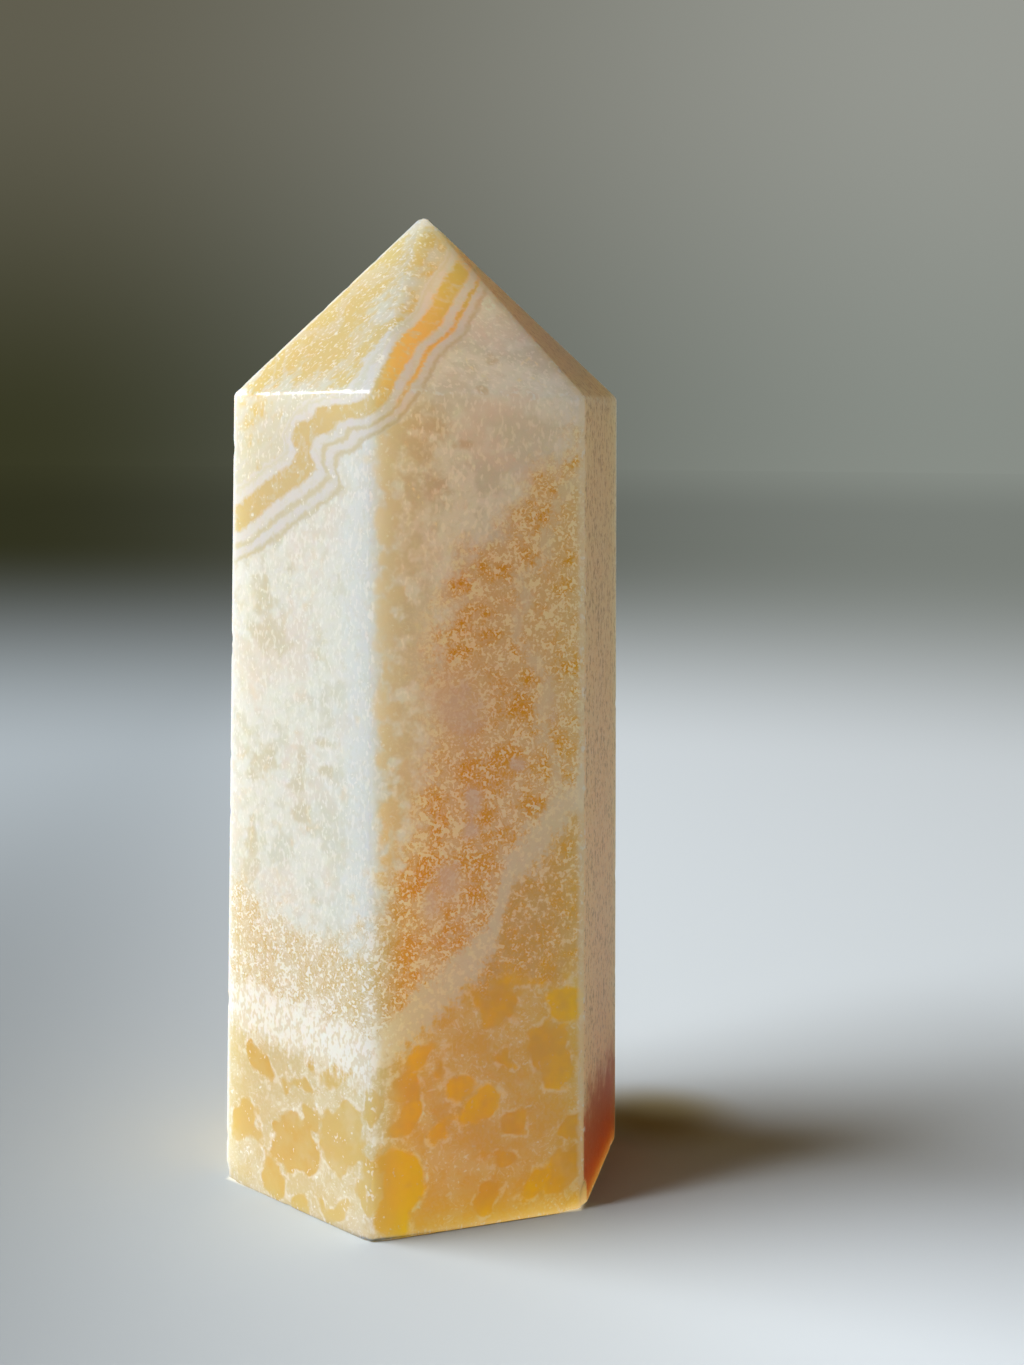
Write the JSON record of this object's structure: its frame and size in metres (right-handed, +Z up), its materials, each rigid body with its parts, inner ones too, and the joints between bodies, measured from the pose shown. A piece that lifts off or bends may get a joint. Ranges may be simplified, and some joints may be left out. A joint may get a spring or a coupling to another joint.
{
  "type": "orange calcite tower",
  "caption": "Polished hexagonal stone tower that tapers to a faceted point and stands on a flat base.",
  "frame": {"origin": "middle of the base, on the surface that the tower stands on, under the middle of its bounding box", "axes": "+Z up through the point, -Y out of the front side, +X to the right of it"},
  "size_m": [0.0392, 0.0352, 0.09],
  "materials": {
    "orange_calcite": "polished, translucent, banded orange, cream and white"
  },
  "bodies": {
    "root": {"calcite_tower": "orange_calcite"}
  },
  "joints": []
}
